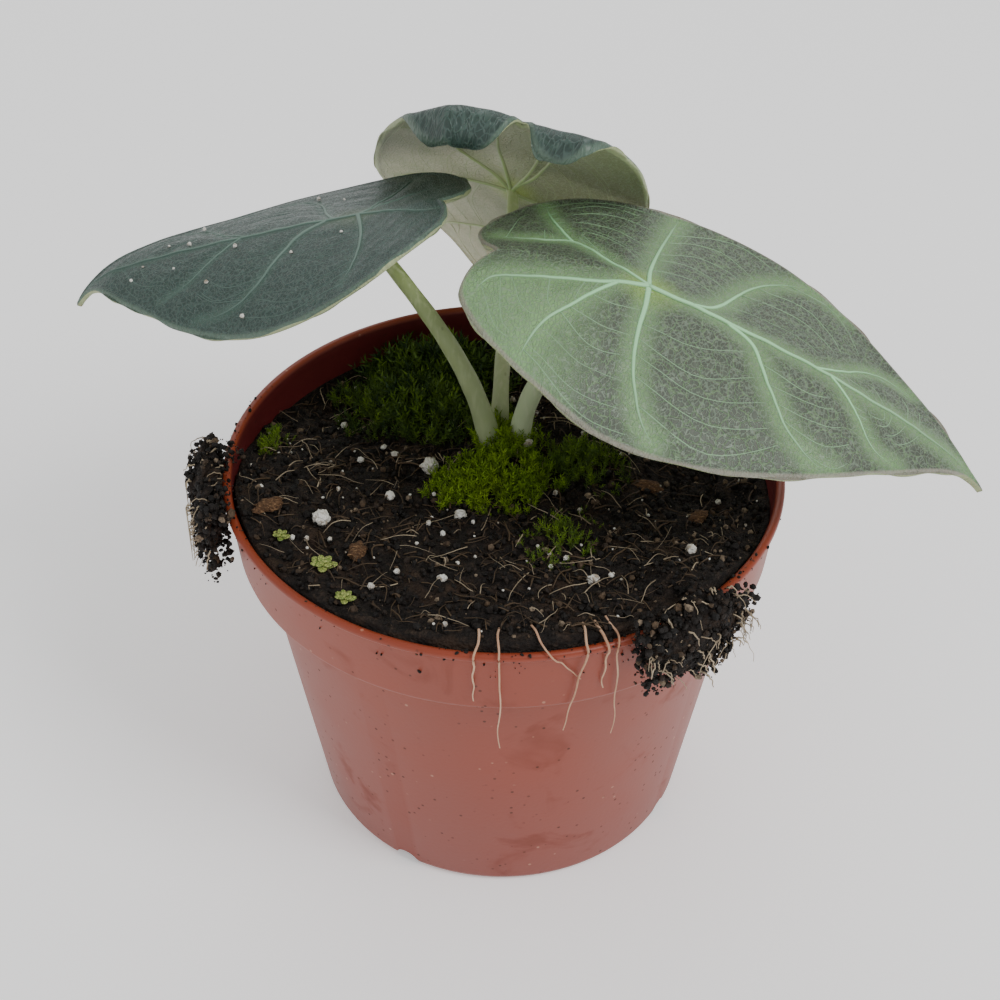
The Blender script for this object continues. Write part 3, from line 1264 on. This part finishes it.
def make_roots(finish):
    for number, (turn, length, drift, radius) in enumerate(ROOTS, 1):
        share = np.linspace(0, 1, 40)
        wander = 0.9 * np.array([noise.noise(Vector((part * 4, number * 5.0, 0))) for part in share])
        path = []
        for part, sway in zip(share, wander):
            degrees = turn + drift * part + sway
            if part < 0.3:
                inward = 1 - part / 0.3
                reach = RIM_RADIUS + 0.5 - 7 * inward**1.3
                level = POT_HEIGHT + 0.6 + 0.8 * math.sin(part / 0.3 * math.pi)
                way = math.radians(degrees)
                ground = soil_height(*(np.array((math.cos(way), math.sin(way))) * reach))
                z = level if inward < 0.3 else max(ground + 0.4, level - 1.6 * (inward - 0.3))
            else:
                z = POT_HEIGHT + 0.6 - length * ((part - 0.3) / 0.7)
                reach = pot_outside(min(z, POT_HEIGHT - 0.2)) + radius + 0.25
                reach = max(reach, RIM_RADIUS + 0.6 - 4 * (part - 0.3))
            angle = math.radians(degrees)
            path.append((reach * math.cos(angle), reach * math.sin(angle), z))
        path = smooth_path(path[::3] + [path[-1]], 50)
        heap = Heap()
        heap.add_tube(round_tube(path, radius * np.linspace(1, 0.4, 50), 7))
        finish_piece(heap.build(f"hanging_root_{number}_thread", [finish]), "root", f"hanging_root_{number}")


# Pot


def make_pot(finish):
    bpy.ops.object.select_all(action="DESELECT")
    mesh = bpy.data.meshes.new("pot_wall")
    points = [(radius * MM, 0, height * MM) for radius, height in POT_PROFILE]
    mesh.from_pydata(points, [(index, index + 1) for index in range(len(points) - 1)], [])
    piece = bpy.data.objects.new("pot_wall", mesh)
    bpy.context.scene.collection.objects.link(piece)
    bpy.context.view_layer.objects.active = piece
    piece.select_set(True)
    bpy.ops.object.mode_set(mode="EDIT")
    bpy.ops.mesh.select_all(action="SELECT")
    bpy.ops.mesh.spin(steps=POT_STEPS, angle=math.tau, center=(0, 0, 0), axis=(0, 0, 1))
    bpy.ops.mesh.select_all(action="SELECT")
    bpy.ops.mesh.remove_doubles(threshold=1e-5)
    bpy.ops.mesh.normals_make_consistent(inside=False)
    bpy.ops.object.mode_set(mode="OBJECT")
    cutters = []
    for hole in range(6):
        turn = math.radians(60 * hole)
        bpy.ops.mesh.primitive_cylinder_add(
            vertices=24, radius=3.5 * MM, depth=6 * MM,
            location=(27 * MM * math.cos(turn), 27 * MM * math.sin(turn), 0))
        cutters.append(bpy.context.object)
    for notch in range(4):
        turn = math.radians(240 + 90 * notch)
        bpy.ops.mesh.primitive_cylinder_add(
            vertices=24, radius=3.0 * MM, depth=8 * MM, rotation=(0, math.pi / 2, turn),
            location=(BASE_RADIUS * MM * math.cos(turn), BASE_RADIUS * MM * math.sin(turn), 0))
        cutters.append(bpy.context.object)
    bpy.ops.object.select_all(action="DESELECT")
    for cutter in cutters:
        cutter.select_set(True)
    bpy.context.view_layer.objects.active = cutters[0]
    bpy.ops.object.join()
    joined = bpy.context.object
    bpy.context.view_layer.objects.active = piece
    boolean = piece.modifiers.new("drainage", "BOOLEAN")
    boolean.operation = "DIFFERENCE"
    boolean.object = joined
    bpy.ops.object.modifier_apply(modifier="drainage")
    bpy.data.objects.remove(joined, do_unlink=True)
    bpy.ops.object.select_all(action="DESELECT")
    piece.select_set(True)
    bpy.context.view_layer.objects.active = piece
    bpy.ops.object.shade_smooth_by_angle(angle=math.radians(50))
    points = get_points(piece.data) / MM
    radius = np.linalg.norm(points[:, :2], axis=1)
    inner = np.interp(points[:, 2], (1, 2, 71.2, 72.6, 73.1, 86.5), (41.2, 42.1, 52.6, 57.2, 57.2, 58.3))
    inside = (radius < inner) & (points[:, 2] > 0.5) & (points[:, 2] < 87.4)
    set_attribute(piece.data, "inside", inside.astype(float))
    set_attribute(piece.data, "low", np.clip(1 - points[:, 2] / 70, 0, 1))
    piece.data.materials.clear()
    piece.data.materials.append(finish)
    finish_piece(piece, "pot", "pot")


# Stage


def make_stage():
    camera = bpy.data.cameras.new("camera")
    camera.lens = 65.5
    camera.clip_start = 0.01
    holder = bpy.data.objects.new("camera", camera)
    bpy.context.scene.collection.objects.link(holder)
    bpy.context.scene.camera = holder
    forward = Vector((-0.00188, 0.76761, -0.64091))
    level = forward.to_track_quat("-Z", "Y").to_matrix()
    holder.matrix_world = (Matrix.Translation(Vector((0, -0.3048, 0.3313)))
                           @ (level @ Matrix.Rotation(math.radians(0.5), 3, "Z")).to_4x4())
    bpy.ops.object.select_all(action="DESELECT")
    bpy.ops.mesh.primitive_plane_add(size=6, location=(0, 0, -0.0005))
    floor = bpy.context.object
    floor.name = "floor"
    floor.data.materials.append(floor_white())
    world = bpy.data.worlds.new("soft room")
    world.use_nodes = True
    world.node_tree.nodes["Background"].inputs["Color"].default_value = (1, 1, 1, 1)
    world.node_tree.nodes["Background"].inputs["Strength"].default_value = 0.62
    bpy.context.scene.world = world
    # (place, size, power) of each soft light, all turned to the pot
    for name, place, size, power in (
        ("key", (0.7, -0.5, 1.1), 0.5, 9.0),
        ("fill", (-0.9, -0.6, 0.7), 0.9, 1.5),
        ("back", (-0.1, 1.0, 1.0), 0.8, 3.0),
    ):
        light = bpy.data.lights.new(name, "AREA")
        light.size = size
        light.energy = power
        lamp = bpy.data.objects.new(name, light)
        bpy.context.scene.collection.objects.link(lamp)
        aim = Vector((0, 0, 0.09)) - Vector(place)
        turned = aim.to_track_quat("-Z", "Y").to_matrix().to_4x4()
        lamp.matrix_world = Matrix.Translation(Vector(place)) @ turned


# Build

make_stage()
make_pot(pot_plastic())
earth, crumbs = soil_earth(), crumb_earth()
straw = fibre_finish("straw and root hairs", (0.10, 0.060, 0.030), (0.72, 0.60, 0.42))
brown = fibre_finish("brown fibres", (0.012, 0.008, 0.005), (0.13, 0.080, 0.040))
make_soil(earth)
make_crumbs(crumbs)
make_fibres("pale_fibres", straw, "root", 230, (3, 13), (0.05, 0.15), 0.05, 0.5, 2.0)
make_fibres("brown_fibres", brown, "soil", 900, (2, 9), (0.07, 0.24), 0.08, 0.35, 1.2)
white = perlite_white()
make_bits(white, bark_brown(), liverwort_green())
moss = moss_green()
shoot = shoot_shape()
make_moss("moss_crown", moss, shoot, 1250, 4.4, 0.80, 1.30)
make_moss("moss_back", moss, shoot, 1500, 6.5, 0.24, 1.45)
make_moss("moss_right", moss, shoot, 620, 4.2, 0.40, 1.45)
make_moss("moss_front", moss, shoot, 300, 3.0, 0.50, 1.3)
make_moss("moss_left_rim", moss, shoot, 160, 2.4, 0.55, 1.05)
make_moss("moss_wall", moss, shoot, 900, 8.0, 0.20, 1.15)
make_moss("moss_stalks", moss, shoot, 420, 4.6, 0.78, 1.1)
make_rim_crumbs(crumbs)
lump("crown_chip", (5.2, 5.4, 88.4), np.array((1.2, 0.7, 0.9)), 0.6, 3, 0.2, white, "perlite", None, 4.0)
for clump in CLUMPS:
    make_clump(clump, earth, crumbs, straw)
make_roots(fibre_finish("hanging roots", (0.34, 0.13, 0.06), (0.80, 0.58, 0.40)))
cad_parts["corm"].data.materials.clear()
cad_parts["corm"].data.materials.append(corm_skin())

grey_leaf = leaf_skin(
    "grey green leaf face", (0.092, 0.108, 0.076), (0.058, 0.070, 0.051), (0.23, 0.42, 0.17), (0.30, 0.48, 0.07),
    (0.33, 0.31, 0.25), (0.22, 0.29, 0.205), (0.17, 0.215, 0.15), 0.44, 5.2, 0.75)
teal_leaf = leaf_skin(
    "dark teal leaf face", (0.030, 0.058, 0.046), (0.018, 0.038, 0.030), (0.060, 0.115, 0.085), (0.07, 0.12, 0.05),
    (0.11, 0.17, 0.125), (0.075, 0.125, 0.105), (0.050, 0.092, 0.080), 0.40, 2.6)
under_leaf = leaf_skin(
    "cream olive leaf back", (0.40, 0.42, 0.25), (0.28, 0.31, 0.17), (0.30, 0.38, 0.17), (0.42, 0.56, 0.12),
    (0.36, 0.42, 0.22), (0.34, 0.37, 0.22), (0.44, 0.46, 0.30), 0.55, 2.2, 0.0,
    ((0.56, 0.56, 0.40), (0.13, 0.17, 0.065)))
mint_vein = vein_skin("mint veins", (0.40, 0.80, 0.43), (0.25, 0.48, 0.24), (0.19, 0.275, 0.165))
teal_vein = vein_skin("pale teal veins", (0.13, 0.21, 0.165), (0.08, 0.135, 0.11), (0.06, 0.10, 0.085))
rib_vein = vein_skin("ribs under the leaves", (0.26, 0.38, 0.12), (0.34, 0.40, 0.20), (0.36, 0.40, 0.22))
make_leaf("front", grey_leaf, under_leaf, mint_vein, rib_vein, "blade_pale_veined")
make_leaf("left", teal_leaf, under_leaf, teal_vein, rib_vein, "blade_dark")
make_leaf_specks(white)
make_leaf("back", teal_leaf, under_leaf, teal_vein, rib_vein, "blade_underside")
make_stalk("front", stalk_green(
    "front stalk", (0.52, 0.60, 0.38), (0.36, 0.48, 0.24), (0.62, 0.66, 0.48), 0.9))
make_stalk("left", stalk_green(
    "left stalk", (0.40, 0.47, 0.26), (0.19, 0.25, 0.07), (0.46, 0.52, 0.30), 0.25))
make_stalk("back", stalk_green(
    "back stalk", (0.46, 0.52, 0.30), (0.42, 0.50, 0.24), (0.60, 0.62, 0.42), 0.25))
